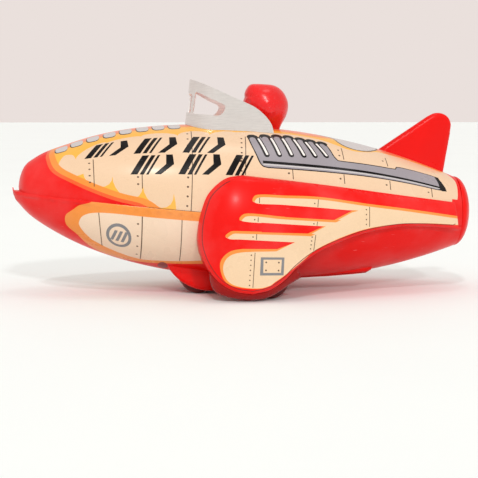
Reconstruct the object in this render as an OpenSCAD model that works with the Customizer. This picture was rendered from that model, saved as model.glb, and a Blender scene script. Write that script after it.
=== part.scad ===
// Tin rocket racer with a flywheel push-and-go motor.
// Nose toward -X, tail toward +X, left side toward -Y, wheels on z = 0.

/* [Body] */
// length over the nose lip and the tail cap
body_length = 178; // [150:1:200]
// radius of the rocket body at its widest station
body_radius = 29.2; // [24:0.1:34]
// radius of the body where the tail cap seats
tail_radius = 13.6; // [10:0.1:18]
// height of the body's centre line above the floor at mid-length
axis_height = 34.3; // [28:0.1:40]
// how far the nose is raised, as a tilt of the centre line
axis_tilt = 3.6; // [0:0.1:6]
// height of the seam between the two shells at mid-length
seam_height = 30.9; // [26:0.1:36]
// tilt of the seam
seam_tilt = 4.7; // [0:0.1:8]
// thickness of the pressed tin
tin = 0.4; // [0.25:0.05:0.8]

/* [Side fenders] */
// half width of the toy over the fenders
fender_reach = 38; // [34:0.5:42]
// radius of the round wheel pod in side view
pod_radius = 19.4; // [16:0.1:22]
// rear end of the fender along the body
fender_end = 80; // [70:1:84]

/* [Belly pan] */
// height of the flat belly above the floor
belly_height = 1.2; // [0.8:0.1:2]
// half width of the pan's shoulders, which clear the flywheels
pan_half_width = 18; // [16.5:0.5:20]
// half width of the pan's keel, which carries the front wheels
keel_half_width = 12; // [11:0.5:14]
// radius of the rounded pan front in side view
pan_nose_radius = 18.7; // [15:0.1:21]

/* [Windscreen and driver] */
// outside width of the windscreen
screen_width = 21; // [18:0.5:26]
// height of the windscreen top above the floor
screen_top = 80.4; // [74:0.1:86]
// radius of the driver's helmet
helmet_radius = 9; // [7:0.1:11]

/* [Wheels] */
// radius of the driven wheels over the tyre
drive_wheel_radius = 7; // [6:0.1:9]
// radius of the front wheels over the tyre
front_wheel_radius = 6.2; // [5:0.1:8]
// position of the drive axle along the body
drive_axle_x = 5; // [2:0.5:10]
// position of the front axle along the body
front_axle_x = -20; // [-24:0.5:-14]

/* [Motor] */
// tooth size (pitch diameter over tooth count)
gear_module = 0.4; // [0.3:0.05:0.5]
// teeth on the drive axle gear
drive_teeth = 24; // [20:1:26]
// teeth on the idler gear
idler_teeth = 25; // [20:1:26]
// teeth on both pinions
pinion_teeth = 10; // [9:1:12]
// radius of the two flywheels
flywheel_radius = 10.5; // [8:0.1:11]
// distance between the motor plates
plate_gap = 18; // [16:0.5:20]

/* [Hidden] */
$fn = 96;
eps = 0.01;
big = 300;

// seating gap between fixed sheet parts, running gap around shafts
seat = 0.08;
run = 0.05;
grip = 0.02;

// body profile
nose_power = 2.3;
nose_blunt = 0.6;
nose_swell = 0.4;
tail_power = 2.05;
tail_start = body_length / 2 - 7;
lower_reach = body_length / 2 - 0.35;
upper_reach = lower_reach - 2;
front_steps = 16;
rear_steps = 12;

function nose_r(x, reach, radius) =
    radius * pow(max(0, 1 - pow(min(1, -x / reach), nose_power)), nose_blunt)
    * (1 + nose_swell * exp(-pow((x + reach) / 8, 2)));
function rear_r(x) =
    body_radius - (body_radius - tail_radius) * pow(x / tail_start, tail_power);
function body_r(x) = x < 0 ? nose_r(x, upper_reach, body_radius) : rear_r(x);
function body_profile(reach, inset, last) = concat(
    [for (i = [0:front_steps])
        let (x = -(reach - inset) * cos(90 * i / front_steps))
        [nose_r(x, reach - inset, body_radius - inset), x]],
    [for (i = [1:rear_steps]) let (x = last * i / rear_steps) [rear_r(x) - inset, x]],
    [[0, last]]);
function axis_z(x) = axis_height - x * tan(axis_tilt);
function crown_z(x) = axis_z(x) + body_r(x);

// fender
pod_x = -3;
pod_z = 22.5;
fender_sheet = 0.45;
shoulder_radius = 16.1;
shoulder_x = -5.5;
shoulder_z = 29.5;
fender_axis_z = 22.1;
fender_axis_rise = 2.8;
lip_drop = 2.4;
function fender_y(x) = x < pod_x
    ? fender_reach - 7 * pow((pod_x - x) / pod_radius, 2.5)
    : fender_reach - 22 * pow((x - pod_x) / (fender_end - pod_x), 1.45);

// belly pan
pan_sheet = 0.5;
pan_nose_x = -15.2;
pan_nose_z = belly_height + pan_nose_radius;
pan_well_end = 13.5;
shoulder_start = -14.6;
shoulder_floor = 4.6;
pan_end = 50;
pan_tail_half = 10;
belly_opening = 16.3;

// windscreen
screen_sheet = 0.45;
screen_front = -23.4;
screen_rake = 8.8;
screen_tab_x = [-8, 4.5];
screen_tab = 4;
screen_arc_x = -13;

// driver
driver_x = 8.5;
driver_z = 70.6;
stem_radius = 2.2;

// tail fin
fin_half = 2;

// running gear
drive_axle_z = drive_wheel_radius;
front_axle_z = front_wheel_radius;
drive_axle_radius = 1.2;
shaft_radius = 1;
drive_wheel_y = 22.8;
drive_wheel_wide = 4.5;
front_wheel_y = 4.6;
front_wheel_wide = 3.6;

// motor
plate = 0.8;
plate_y = plate_gap / 2;
plate_foot_x = [-12, 5];
pinion_r = gear_module * pinion_teeth / 2;
drive_gear_r = gear_module * drive_teeth / 2;
idler_gear_r = gear_module * idler_teeth / 2;
idler_angle = 120;
flywheel_angle = 150;
idler_x = drive_axle_x + (drive_gear_r + pinion_r) * cos(idler_angle);
idler_z = drive_axle_z + (drive_gear_r + pinion_r) * sin(idler_angle);
fly_x = idler_x + (idler_gear_r + pinion_r) * cos(flywheel_angle);
fly_z = idler_z + (idler_gear_r + pinion_r) * sin(flywheel_angle);
half_pitch = 180 / pinion_teeth;
flywheel_y = 10.8;
flywheel_wide = 5;
pillars = [[-10, 6], [-13.5, 13.5], [1.5, 20.5]];
pillar_radius = 1.5;
pressure_angle = 20;
tooth_relief = 0.05;

// ---------- shared helpers ----------

module on_axis() {
    translate([0, 0, axis_height])
        rotate([0, 90 + axis_tilt, 0])
            children();
}

module body_solid(reach, inset, last) {
    on_axis()
        rotate_extrude()
            polygon(body_profile(reach, inset, last));
}

module above_seam(gap) {
    translate([0, 0, seam_height + gap])
        rotate([0, seam_tilt, 0])
            translate([-big / 2, -big / 2, 0])
                cube([big, big, big / 2]);
}

module below_seam(gap) {
    translate([0, 0, seam_height - gap])
        rotate([0, seam_tilt, 0])
            translate([-big / 2, -big / 2, -big / 2])
                cube([big, big, big / 2]);
}

// extrude a side view (x, z) across y
module across(y0, y1) {
    translate([0, y1, 0])
        rotate([90, 0, 0])
            linear_extrude(y1 - y0)
                children();
}

module rod(x, z, radius, y0, y1) {
    across(y0, y1)
        translate([x, z])
            circle(radius);
}

module ring(x, z, outer, inner, y0, y1) {
    across(y0, y1)
        translate([x, z])
            difference() {
                circle(outer);
                circle(inner);
            }
}

module mirrored_y() {
    children();
    mirror([0, 1, 0])
        children();
}

// ---------- fenders ----------

module fender_side(inset) {
    translate([pod_x, pod_z])
        circle(pod_radius - inset);
    translate([shoulder_x, shoulder_z])
        circle(shoulder_radius - inset);
    polygon([
        [shoulder_x, 45.6 - inset], [fender_end - 1.7, 34.4 - inset],
        [fender_end - inset, 33], [fender_end - inset, 25.5 + inset],
        [63.6, 26.8 + inset], [54, 26.7 + inset], [41.3, 24.8 + inset],
        [32, 21.9 + inset], [20.2, 17 + inset], [13.6, 12.6 + inset],
        [pod_x, pod_z]]);
}

// bulge of the fender: round above its own centre line, upright below it
module fender_bulge(inset) {
    x0 = pod_x - pod_radius - 1;
    x1 = fender_end + 3;
    rim = [for (i = [0:24]) let (x = x0 + (x1 - x0) * i / 24) [fender_y(x) - inset, x]];
    translate([0, 0, fender_axis_z])
        rotate([0, 90 - fender_axis_rise, 0]) {
            rotate_extrude()
                polygon(concat([[0, x0]], rim, [[0, x1]]));
            rotate([0, 90, 0])
                rotate([0, 0, 90])
                    linear_extrude(40)
                        polygon(concat([[0, x0]], [for (p = rim) [-p[0], p[1]]], [[0, x1]]));
        }
}

module fender_block(inset) {
    intersection() {
        across(-60, 0)
            fender_side(inset);
        fender_bulge(inset);
    }
}

// tongues of the fender's top and lower walls that pass into the body
module fender_tabs(grow) {
    for (x = [6, 32, 58])
        translate([x - 2 - grow, -34, 18])
            cube([4 + 2 * grow, 24, 32]);
}

// slots that follow the fender's own walls, with a gap all round
module fender_tab_slots() {
    intersection() {
        difference() {
            fender_block(-0.15);
            fender_block(fender_sheet + 0.15);
            across(-fender_y(fender_end) + fender_sheet, 1)
                fender_side(fender_sheet + 0.15);
        }
        fender_tabs(0.25);
        body_solid(lower_reach, -1, tail_start);
    }
}

module fender_lip() {
    intersection() {
        translate([pod_x, -35.6, pod_z])
            rotate([-90, 0, 0])
                rotate_extrude()
                    polygon([
                        [pod_radius - fender_sheet, 0], [pod_radius, 0],
                        [pod_radius + lip_drop, 3.2],
                        [pod_radius + lip_drop - fender_sheet, 3.4]]);
        translate([pod_x - 14, -40, 0])
            cube([33, 12, pod_z - 13]);
    }
}

module fender() {
    difference() {
        union() {
            difference() {
                fender_block(0);
                fender_block(fender_sheet);
                across(-fender_y(fender_end) + fender_sheet, 1)
                    fender_side(fender_sheet);
                // wheel opening underneath
                translate([pod_x - 12, -31, -1])
                    cube([33.5, 32, 16.5]);
            }
            fender_lip();
        }
        difference() {
            body_solid(lower_reach, -seat - 0.35, tail_start + 6);
            fender_tabs(0);
        }
        body_solid(lower_reach, 2, tail_start + 6);
        across(-pan_half_width - seat, 0)
            pan_side(-seat);
    }
}

// ---------- belly pan ----------

// round-nosed keel under the motor
module keel_side(inset) {
    translate([pan_nose_x, pan_nose_z])
        circle(pan_nose_radius - inset);
    polygon([
        [pan_nose_x, belly_height + inset], [pan_well_end - inset, belly_height + inset],
        [pan_well_end - inset, 16], [pan_nose_x, pan_nose_z]]);
}

// wider shoulders over the flywheels
module pan_side(inset) {
    polygon([
        [shoulder_start + inset, 18], [shoulder_start + inset, shoulder_floor + 3 + inset / 2],
        [shoulder_start + 3 + inset / 2, shoulder_floor + inset],
        [pan_well_end - inset, shoulder_floor + inset], [pan_well_end - inset, 18]]);
}

// narrow channel that runs back under the body
module pan_tail_side(inset) {
    polygon([
        [pan_well_end - 2, belly_height + inset], [pan_well_end, belly_height + inset],
        [pan_well_end + 7, belly_height + 1.5 + inset], [pan_end - 2, 6 + inset],
        [pan_end - inset, 8 + inset], [pan_end - inset, 16], [pan_well_end - 2, 16]]);
}

module pan_tabs(grow) {
    for (x = [-9, 8])
        mirrored_y()
            translate([x - 2 - grow, -pan_half_width - grow, 6])
                cube([4 + 2 * grow, pan_sheet + 2 * grow, 9]);
}

// ---------- shells ----------

module fin_tabs(grow) {
    for (x = [58, 71])
        mirrored_y()
            translate([x - grow, -fin_half - grow, 30])
                cube([4 + 2 * grow, tin + 2 * grow, 30]);
}

module screen_tabs(grow) {
    for (x = screen_tab_x)
        mirrored_y()
            translate([x - grow, -screen_width / 2 - grow, 50])
                cube([screen_tab + 2 * grow, screen_sheet + 2 * grow, 20]);
}

module upper_shell() {
    color("#d8c7a6")
        difference() {
            intersection() {
                body_solid(upper_reach, 0, tail_start);
                above_seam(seat / 2);
            }
            body_solid(upper_reach, tin, tail_start + 1);
            fin_tabs(0.2);
            screen_tabs(0.2);
            translate([driver_x, 0, 50])
                cylinder(r = stem_radius + 0.1, h = 30);
            mirrored_y()
                fender_tab_slots();
        }
}

module lower_shell() {
    color("#d8c7a6")
        difference() {
            union() {
                intersection() {
                    body_solid(lower_reach, 0, tail_start);
                    below_seam(seat / 2);
                }
                // rolled bead along the seam
                intersection() {
                    body_solid(lower_reach, -0.35, tail_start);
                    below_seam(seat / 2);
                    above_seam(-1.4);
                }
            }
            body_solid(lower_reach, tin, tail_start + 1);
            translate([shoulder_start + 0.6, -belly_opening, -1])
                cube([12 - shoulder_start - 0.6, 2 * belly_opening, 24]);
            translate([-27.8, -keel_half_width + 1, -1])
                cube([20, 2 * keel_half_width - 2, 24]);
            pan_tabs(0.2);
            mirrored_y()
                fender_tab_slots();
        }
}

module tail_cap() {
    dome = body_length / 2 - tail_start - seat;
    color("#c8231c")
        on_axis()
            translate([0, 0, tail_start + seat])
                rotate_extrude()
                    difference() {
                        union() {
                            polygon(concat([[0, 0]],
                                [for (i = [0:12])
                                    [tail_radius * cos(90 * i / 12), dome * sin(90 * i / 12)]]));
                            translate([0, -3.5])
                                square([tail_radius - tin - seat, 3.5 + eps]);
                        }
                        polygon(concat([[0, -4], [tail_radius - 2 * tin - seat, -4]],
                            [for (i = [0:12])
                                [(tail_radius - 2 * tin - seat) * cos(90 * i / 12),
                                 (dome - tin) * sin(90 * i / 12)]]));
                    }
}

module base_pan() {
    color("#b3201a")
        difference() {
            union() {
                across(-pan_half_width, pan_half_width)
                    pan_side(0);
                across(-keel_half_width, keel_half_width)
                    keel_side(0);
                across(-pan_tail_half, pan_tail_half)
                    pan_tail_side(0);
            }
            across(-pan_half_width + pan_sheet, pan_half_width - pan_sheet)
                pan_side(pan_sheet);
            across(-keel_half_width + pan_sheet, keel_half_width - pan_sheet)
                keel_side(pan_sheet);
            across(-pan_tail_half + pan_sheet, pan_tail_half - pan_sheet)
                pan_tail_side(pan_sheet);
            difference() {
                body_solid(lower_reach, -seat, tail_start);
                pan_tabs(0);
            }
            body_solid(lower_reach, 2, tail_start);
            // slots for the front wheels
            mirrored_y()
                translate([front_axle_x - 7.2, front_wheel_y - 0.5, -1])
                    cube([14, front_wheel_wide + 1, 12]);
            // the drive axle passes both side walls
            rod(drive_axle_x, drive_axle_z, drive_axle_radius + 0.6, -20, 20);
            // slots for the motor plates' feet
            for (x = plate_foot_x)
                mirrored_y()
                    translate([x - 0.2, plate_y - 0.15, -1])
                        cube([4.4, plate + 0.3, 4]);
        }
}

module fender_left() {
    color("#c8231c")
        fender();
}

module fender_right() {
    color("#c8231c")
        mirror([0, 1, 0])
            fender();
}

// ---------- tail fin ----------

module fin_side(inset) {
    polygon([
        [50, 45 + inset], [50 + inset, 52.2 - inset], [71.8 + inset, 66.9 - inset],
        [74.3, 68 - inset], [77.2, 68 - inset], [79.6 - inset, 66.8 - inset],
        [80.7 - inset, 64.6], [77 - inset, 38 + inset]]);
}

module fin_half_tray() {
    difference() {
        across(-fin_half, -seat / 2)
            fin_side(0);
        across(-fin_half + tin, 1)
            fin_side(tin);
        difference() {
            body_solid(upper_reach, -seat, tail_start);
            fin_tabs(0);
        }
        body_solid(upper_reach, 2.4, tail_start);
    }
}

module tail_fin_left() {
    color("#d02a20")
        fin_half_tray();
}

module tail_fin_right() {
    color("#d02a20")
        mirror([0, 1, 0])
            fin_half_tray();
}

// ---------- windscreen ----------

module screen_plan(inset) {
    half = screen_width / 2;
    polygon(concat(
        [for (a = [90:7.5:270]) [half + (half - inset) * cos(a), (half - inset) * sin(a)]],
        [[70, -half + inset], [70, half - inset]]));
}

// lower edge of the windscreen: where its wall meets the body, plus a seating gap
function screen_y(x) = x > screen_arc_x
    ? screen_width / 2
    : sqrt(max(0, pow(screen_width / 2, 2) - pow(screen_arc_x - x, 2)));
function screen_foot(x) = axis_z(x) + sqrt(pow(body_r(x), 2) - pow(screen_y(x), 2)) + 2 * seat;

module screen_side() {
    difference() {
        polygon(concat(
            [[-30, 66], [-30, screen_top + 4.2], [-21.2, screen_top],
             [-1.7, 71.8], [1.2, 70.4], [3.8, 68.7], [5.9, 66.9], [7.4, 65],
             [8.4, 63], [8.8, screen_foot(8.8)]],
            [for (x = [4, -1, -5, -9, -13, -16, -19, -21, -22.5, -23.5, -26]) [x, screen_foot(x)]]));
        // side windows
        polygon([
            [-20.8, 76.2], [-20.8, 67.8], [-12, 67.3], [-10.9, 67.7],
            [-9.6, 69.8], [-9.6, 70.6], [-10.2, 71.2]]);
    }
}

module windscreen() {
    color("#c9c3ba") {
        intersection() {
            translate([screen_front - 2.1, 0, 50])
                rotate([0, screen_rake, 0])
                    linear_extrude(40)
                        difference() {
                            screen_plan(0);
                            screen_plan(screen_sheet);
                        }
            across(-20, 20)
                screen_side();
        }
        // tabs that pass the upper shell
        for (x = screen_tab_x)
            mirrored_y()
                translate([x, -screen_width / 2, crown_z(x) - 5])
                    cube([screen_tab, screen_sheet, 6]);
    }
}

// ---------- driver ----------

module driver_head() {
    crown = driver_z - crown_z(driver_x);
    color("#d3221b")
        difference() {
            union() {
                translate([driver_x - 1, 0, driver_z])
                    rotate([0, -14, 0])
                        rotate_extrude()
                            polygon([
                                [0, -helmet_radius], [3.4, -8.8], [5.2, -7.2],
                                [7.2, -4.6], [8.6, -1.6], [helmet_radius, 1],
                                [8.8, 3.4], [8, 5.6], [6.6, 7.4], [4.4, 8.7],
                                [2.2, 9.2], [0, 9.3]]);
                // helmet brim
                translate([driver_x - 1.2, 0, driver_z + 2.6])
                    rotate([0, -14, 0])
                        cylinder(r = helmet_radius + 0.5, h = 1.3);
                // ear pads
                rod(driver_x + 0.6, driver_z + 1, 2.4, -helmet_radius - 0.7, helmet_radius + 0.7);
                // neck and stem
                translate([driver_x, 0, driver_z - crown - 3.6])
                    cylinder(r = stem_radius, h = crown);
            }
            body_below();
        }
}

// trims the head clear of the shell, leaving only the stem
module body_below() {
    difference() {
        body_solid(upper_reach, -seat, tail_start);
        translate([driver_x, 0, 40])
            cylinder(r = stem_radius, h = 40);
    }
}

module driver_retainer() {
    color("#8d8f92")
        translate([driver_x, 0, crown_z(driver_x) - tin - 1.9])
            difference() {
                cylinder(r = 5, h = 0.6);
                translate([0, 0, -1])
                    cylinder(r = stem_radius + grip, h = 3);
            }
}

// ---------- motor ----------

module plate_side() {
    difference() {
        union() {
            polygon([
                [-15.5, 1.9], [9.5, 1.9], [9.5, 11], [6, 21], [3.5, 23.5], [-2, 23.5],
                [-9, 21], [-15.5, 17], [-18, 12], [-23.5, 10], [-24, 7]]);
            // feet that pass the pan
            for (x = plate_foot_x)
                translate([x, 0.8])
                    square([4, 2]);
        }
        translate([drive_axle_x, drive_axle_z])
            circle(2.2 + grip);
        translate([idler_x, idler_z])
            circle(shaft_radius + run);
        translate([fly_x, fly_z])
            circle(shaft_radius + run);
        translate([front_axle_x, front_axle_z])
            circle(shaft_radius + run);
        for (p = pillars)
            translate(p)
                circle(0.8 + grip);
    }
}

module motor_plate_left() {
    color("#a9adb1")
        across(-plate_y - plate, -plate_y)
            plate_side();
}

module motor_plate_right() {
    color("#a9adb1")
        across(plate_y, plate_y + plate)
            plate_side();
}

module motor_pillars() {
    color("#8d9195")
        for (p = pillars)
            ring(p[0], p[1], pillar_radius, 0.8 + grip, -plate_y + grip, plate_y - grip);
}

module motor_rivets() {
    color("#b9a26a")
        for (p = pillars) {
            rod(p[0], p[1], 0.8, -plate_y - plate - 0.3, plate_y + plate + 0.3);
            mirrored_y()
                rod(p[0], p[1], 1.4, plate_y + plate + grip, plate_y + plate + 0.5);
        }
}

function flank_turn(base, r) = r <= base ? 0 : sqrt(r * r / (base * base) - 1) * 180 / PI - acos(base / r);
function tooth_half(teeth, pitch, base, r) =
    90 / teeth - tooth_relief / pitch * 180 / PI + flank_turn(base, pitch) - flank_turn(base, r);
function tooth(teeth, pitch, base, root, tip, at) = concat(
    [for (i = [0:5])
        let (r = i == 0 ? root : max(base, root) + (tip - max(base, root)) * (i - 1) / 4)
        let (a = at - tooth_half(teeth, pitch, base, r))
        [r * cos(a), r * sin(a)]],
    [for (i = [5:-1:0])
        let (r = i == 0 ? root : max(base, root) + (tip - max(base, root)) * (i - 1) / 4)
        let (a = at + tooth_half(teeth, pitch, base, r))
        [r * cos(a), r * sin(a)]]);

// a gear in side view with one tooth pointing along the angle start
module gear_side(teeth, bore, start, addendum) {
    pitch = gear_module * teeth / 2;
    base = pitch * cos(pressure_angle);
    root = pitch - 1.2 * gear_module;
    tip = pitch + addendum * gear_module;
    points = [for (k = [0:teeth - 1])
        each tooth(teeth, pitch, base, root, tip, start + 360 * k / teeth)];
    difference() {
        polygon(points);
        circle(bore + grip);
    }
}

module gear(x, z, teeth, bore, start, addendum, y0, y1) {
    across(y0, y1)
        translate([x, z])
            gear_side(teeth, bore, start, addendum);
}

module flywheel(y0, y1) {
    across(y0, y1)
        translate([fly_x, fly_z])
            difference() {
                circle(flywheel_radius);
                circle(shaft_radius + grip);
            }
}

module flywheel_left() {
    color("#6f7377")
        difference() {
            flywheel(-flywheel_y - flywheel_wide, -flywheel_y);
            ring(fly_x, fly_z, flywheel_radius - 1.8, 3, -flywheel_y - flywheel_wide - 1,
                -flywheel_y - flywheel_wide + 1);
        }
}

module flywheel_right() {
    color("#6f7377")
        difference() {
            flywheel(flywheel_y, flywheel_y + flywheel_wide);
            ring(fly_x, fly_z, flywheel_radius - 1.8, 3, flywheel_y + flywheel_wide - 1,
                flywheel_y + flywheel_wide + 1);
        }
}

module flywheel_shaft() {
    color("#b6babd")
        rod(fly_x, fly_z, shaft_radius, -flywheel_y - flywheel_wide, flywheel_y + flywheel_wide);
}

module flywheel_pinion() {
    color("#c2a24c")
        gear(fly_x, fly_z, pinion_teeth, shaft_radius, flywheel_angle + 180 + half_pitch, 0.9, 5.7, 7.9);
}

module idler_shaft() {
    color("#b6babd")
        rod(idler_x, idler_z, shaft_radius, -plate_y - plate, plate_y + plate);
}

module idler_gear() {
    color("#c2a24c")
        gear(idler_x, idler_z, idler_teeth, shaft_radius, flywheel_angle, 0.7, 6, 7.6);
}

module idler_pinion() {
    color("#c2a24c")
        gear(idler_x, idler_z, pinion_teeth, shaft_radius, idler_angle + 180 + half_pitch, 0.9, 2.6, 5.5);
}

// ---------- running gear ----------

module drive_axle() {
    color("#b6babd")
        rod(drive_axle_x, drive_axle_z, drive_axle_radius, -28, 28);
}

module drive_gear() {
    color("#c2a24c")
        difference() {
            gear(drive_axle_x, drive_axle_z, drive_teeth, drive_axle_radius, idler_angle, 0.7, 3, 5);
            for (a = [0:60:300])
                rod(drive_axle_x + 2.9 * cos(a), drive_axle_z + 2.9 * sin(a), 0.8, 2, 6);
        }
}

module bush() {
    ring(drive_axle_x, drive_axle_z, 2.2, drive_axle_radius + run, plate_y - 0.3, plate_y + plate + 0.6);
    ring(drive_axle_x, drive_axle_z, 2.9, drive_axle_radius + run, plate_y - 0.9, plate_y - 0.3 + eps);
}

module drive_bush_left() {
    color("#b08d4a")
        mirror([0, 1, 0])
            bush();
}

module drive_bush_right() {
    color("#b08d4a")
        bush();
}

module wheel_hub() {
    y0 = drive_wheel_y;
    y1 = drive_wheel_y + drive_wheel_wide;
    difference() {
        union() {
            ring(drive_axle_x, drive_axle_z, 4.9, drive_axle_radius + grip, y0 + 0.6, y1 - 0.6);
            ring(drive_axle_x, drive_axle_z, 2.4, drive_axle_radius + grip, y0 - 0.2, y1 + 0.5);
        }
        for (a = [0:72:288])
            rod(drive_axle_x + 3.6 * cos(a), drive_axle_z + 3.6 * sin(a), 0.7, y0, y1);
    }
}

module drive_hub_left() {
    color("#c8231c")
        mirror([0, 1, 0])
            wheel_hub();
}

module drive_hub_right() {
    color("#c8231c")
        wheel_hub();
}

// a tyre with rounded shoulders, revolved about its axle
module tyre(x, z, outer, inner, y0, wide) {
    round = 0.8;
    translate([x, y0, z])
        rotate([-90, 0, 0])
            rotate_extrude()
                polygon([
                    [inner, 0], [outer - round, 0], [outer - round * 0.3, round * 0.3],
                    [outer, round], [outer, wide - round],
                    [outer - round * 0.3, wide - round * 0.3], [outer - round, wide],
                    [inner, wide]]);
}

module drive_tyre_left() {
    color("#232326")
        mirror([0, 1, 0])
            tyre(drive_axle_x, drive_axle_z, drive_wheel_radius, 4.9 + grip, drive_wheel_y, drive_wheel_wide);
}

module drive_tyre_right() {
    color("#232326")
        tyre(drive_axle_x, drive_axle_z, drive_wheel_radius, 4.9 + grip, drive_wheel_y, drive_wheel_wide);
}

module front_axle() {
    color("#b6babd")
        rod(front_axle_x, front_axle_z, shaft_radius, -plate_y - plate - 0.4, plate_y + plate + 0.4);
}

module small_wheel() {
    y0 = front_wheel_y;
    y1 = front_wheel_y + front_wheel_wide;
    ring(front_axle_x, front_axle_z, 3.9, shaft_radius + grip, y0 + 0.4, y1 - 0.4);
    ring(front_axle_x, front_axle_z, 2, shaft_radius + grip, y0 - 0.8, y0 + 0.4 + eps);
}

module front_wheel_left() {
    color("#c8231c")
        mirror([0, 1, 0])
            small_wheel();
}

module front_wheel_right() {
    color("#c8231c")
        small_wheel();
}

module front_tyre_left() {
    color("#232326")
        mirror([0, 1, 0])
            tyre(front_axle_x, front_axle_z, front_wheel_radius, 3.9 + grip, front_wheel_y, front_wheel_wide);
}

module front_tyre_right() {
    color("#232326")
        tyre(front_axle_x, front_axle_z, front_wheel_radius, 3.9 + grip, front_wheel_y, front_wheel_wide);
}

upper_shell();
lower_shell();
tail_cap();
base_pan();
fender_left();
fender_right();
tail_fin_left();
tail_fin_right();
windscreen();
driver_head();
driver_retainer();
motor_plate_left();
motor_plate_right();
motor_pillars();
motor_rivets();
flywheel_left();
flywheel_right();
flywheel_shaft();
flywheel_pinion();
idler_shaft();
idler_gear();
idler_pinion();
drive_axle();
drive_gear();
drive_bush_left();
drive_bush_right();
drive_hub_left();
drive_hub_right();
drive_tyre_left();
drive_tyre_right();
front_axle();
front_wheel_left();
front_wheel_right();
front_tyre_left();
front_tyre_right();
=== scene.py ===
"""Looks for the tin space rocket: printed tin shells, fenders, fin, windscreen, driver and stage."""

import math

import bmesh
import bpy
import numpy as np
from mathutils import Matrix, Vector
from mathutils.geometry import delaunay_2d_cdt


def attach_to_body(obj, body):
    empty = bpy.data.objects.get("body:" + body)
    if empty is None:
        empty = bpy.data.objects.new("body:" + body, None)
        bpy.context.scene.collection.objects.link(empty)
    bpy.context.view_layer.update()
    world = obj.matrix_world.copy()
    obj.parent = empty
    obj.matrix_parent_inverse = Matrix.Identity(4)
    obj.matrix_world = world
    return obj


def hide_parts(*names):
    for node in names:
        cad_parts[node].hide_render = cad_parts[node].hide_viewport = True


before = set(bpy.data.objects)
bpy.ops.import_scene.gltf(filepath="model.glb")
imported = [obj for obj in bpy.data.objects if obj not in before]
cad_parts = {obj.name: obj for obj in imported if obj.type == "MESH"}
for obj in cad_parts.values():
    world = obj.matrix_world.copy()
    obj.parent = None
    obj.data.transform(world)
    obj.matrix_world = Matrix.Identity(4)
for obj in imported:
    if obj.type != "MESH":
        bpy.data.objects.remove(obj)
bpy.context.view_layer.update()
scene = bpy.context.scene

MM = 0.001
TIN = 0.4          # thickness of the tin sheet, mm
FOLDED_TIN = 0.45  # thickness of the folded pieces, mm


# ---------- materials ----------

def linear(value):
    value = value / 255
    return value / 12.92 if value <= 0.04045 else ((value + 0.055) / 1.055) ** 2.4


def rgb(r, g, b):
    return (linear(r), linear(g), linear(b), 1.0)


class Finish:
    """A node material whose surface detail is built up in a few lines."""

    def __init__(self, name, colour, rough, metallic=0.0, coat=0.0, coat_rough=0.06, gloss=0.5):
        self.material = bpy.data.materials.new(name)
        self.material.use_nodes = True
        self.nodes = self.material.node_tree.nodes
        self.links = self.material.node_tree.links
        self.shader = self.nodes["Principled BSDF"]
        for socket, value in (("Metallic", metallic), ("Specular IOR Level", gloss), ("Coat Weight", coat),
                              ("Coat Roughness", coat_rough), ("Base Color", colour), ("Roughness", rough)):
            self.shader.inputs[socket].default_value = value
        self.colour = None
        self.flat = colour
        self.rough = rough
        self.height = None
        self.place = self.nodes.new("ShaderNodeTexCoord").outputs["Object"]

    def node(self, kind, values, sources):
        node = self.nodes.new("ShaderNode" + kind)
        for socket, value in values.items():
            node.inputs[socket].default_value = value
        for socket, source in sources.items():
            self.links.new(source, node.inputs[socket])
        return node

    def noise(self, per_metre, detail=3.0, stretch=(1, 1, 1), turn=(0, 0, 0), spread=0.5):
        place = self.node("Mapping", {"Scale": stretch, "Rotation": turn}, {"Vector": self.place}).outputs[0]
        values = {"Scale": per_metre, "Detail": detail, "Roughness": spread}
        return self.node("TexNoise", values, {"Vector": place}).outputs["Fac"]

    def ramp(self, source, low, high, start=0.0, end=1.0):
        values = {"From Min": low, "From Max": high, "To Min": start, "To Max": end}
        return self.node("MapRange", values, {"Value": source}).outputs["Result"]

    def times(self, a, b):
        node = self.node("Math", {}, {0: a, 1: b})
        node.operation = "MULTIPLY"
        return node.outputs[0]

    def tint(self, mask, colour):
        """Blends the colour towards another where the mask is high."""
        node = self.nodes.new("ShaderNodeMix")
        node.data_type = "RGBA"
        self.links.new(mask, node.inputs[0])
        if self.colour is None:
            node.inputs[6].default_value = self.flat
        else:
            self.links.new(self.colour, node.inputs[6])
        node.inputs[7].default_value = colour
        self.colour = node.outputs[2]

    def stain(self, grain, detail, low, high, amount, colour):
        """Tints the peaks of a noise."""
        self.tint(self.ramp(self.noise(grain, detail), low, high, 0.0, amount), colour)

    def roughen(self, grain, detail, less, more):
        """Lets the roughness wander between less and more than its own value."""
        rough = self.ramp(self.noise(grain, detail), 0.3, 0.7, self.rough - less, self.rough + more)
        self.links.new(rough, self.shader.inputs["Roughness"])

    def bump(self, source, depth_mm, strength):
        sources = {"Height": source}
        if self.height is not None:
            sources["Normal"] = self.height
        values = {"Strength": strength, "Distance": depth_mm * MM}
        self.height = self.node("Bump", values, sources).outputs["Normal"]

    def done(self):
        if self.colour is not None:
            self.links.new(self.colour, self.shader.inputs["Base Color"])
        if self.height is not None:
            self.links.new(self.height, self.shader.inputs["Normal"])
        return self.material


def darker(colour, share):
    return (colour[0] * share, colour[1] * share, colour[2] * share, 1.0)


def lighter(colour, share):
    return tuple(1 - (1 - c) * share for c in colour[:3]) + (1.0,)


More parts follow.
